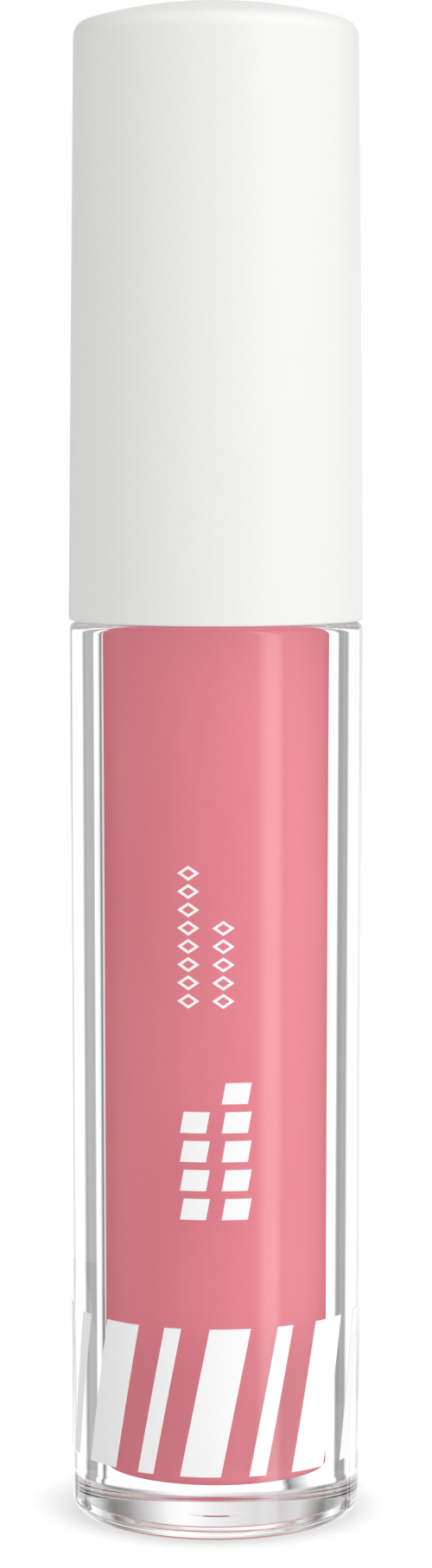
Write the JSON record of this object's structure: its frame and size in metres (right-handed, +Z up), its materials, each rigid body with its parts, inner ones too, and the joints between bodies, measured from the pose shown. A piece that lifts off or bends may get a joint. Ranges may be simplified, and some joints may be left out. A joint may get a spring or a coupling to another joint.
{
  "type": "lip gloss tube",
  "caption": "Thick-walled clear tube of tinted gloss with a tall matte screw cap; the cap carries a flocked wand through a wiping insert.",
  "frame": {"origin": "centre of the foot, on the surface that the tube stands on", "axes": "+Z up along the tube's axis, from the foot to the cap's dome; -Y is the printed front"},
  "size_m": [0.019, 0.019, 0.0973],
  "materials": {
    "clear_plastic": "clear, polished",
    "gloss": "wet",
    "soft_plastic": "waxy natural polyethylene",
    "white_ink": "screen-printed ink",
    "seal": "smooth",
    "cap_white": "soft matte",
    "inner_white": "satin polypropylene",
    "stem_white": "satin",
    "core_plastic": "satin",
    "flock": "short flock wetted with gloss"
  },
  "bodies": {
    "tube": {"tube_body": "clear_plastic", "gloss_fill": "gloss", "wiper": "soft_plastic", "base_print": "white_ink", "side_print": "white_ink"},
    "gloss_film": {"gloss_coat": "gloss"},
    "seal": {"seal_ring": "seal"},
    "cap": {"cap_shell": "cap_white", "inner_cap": "inner_white", "wand_stem": "stem_white", "applicator_core": "core_plastic", "flock_layer": "flock"}
  },
  "joints": [
    {"name": "wand_pull", "type": "slide", "parent": "tube", "child": "gloss_film", "axis": [0, 0, 1], "range_m": [0, 0.075]},
    {"name": "thread_lift", "type": "slide", "parent": "gloss_film", "child": "seal", "axis": [0, 0, 1], "range_m": [0, 0.00376]},
    {"name": "cap_turn", "type": "hinge", "parent": "seal", "child": "cap", "pos_m": [0, 0, 0.07], "axis": [0, 0, 1], "range_deg": [0, 450]}
  ],
  "couplings": [
    {"joint": "thread_lift", "follows": "cap_turn", "m_per_rad": 0.00047746}
  ]
}
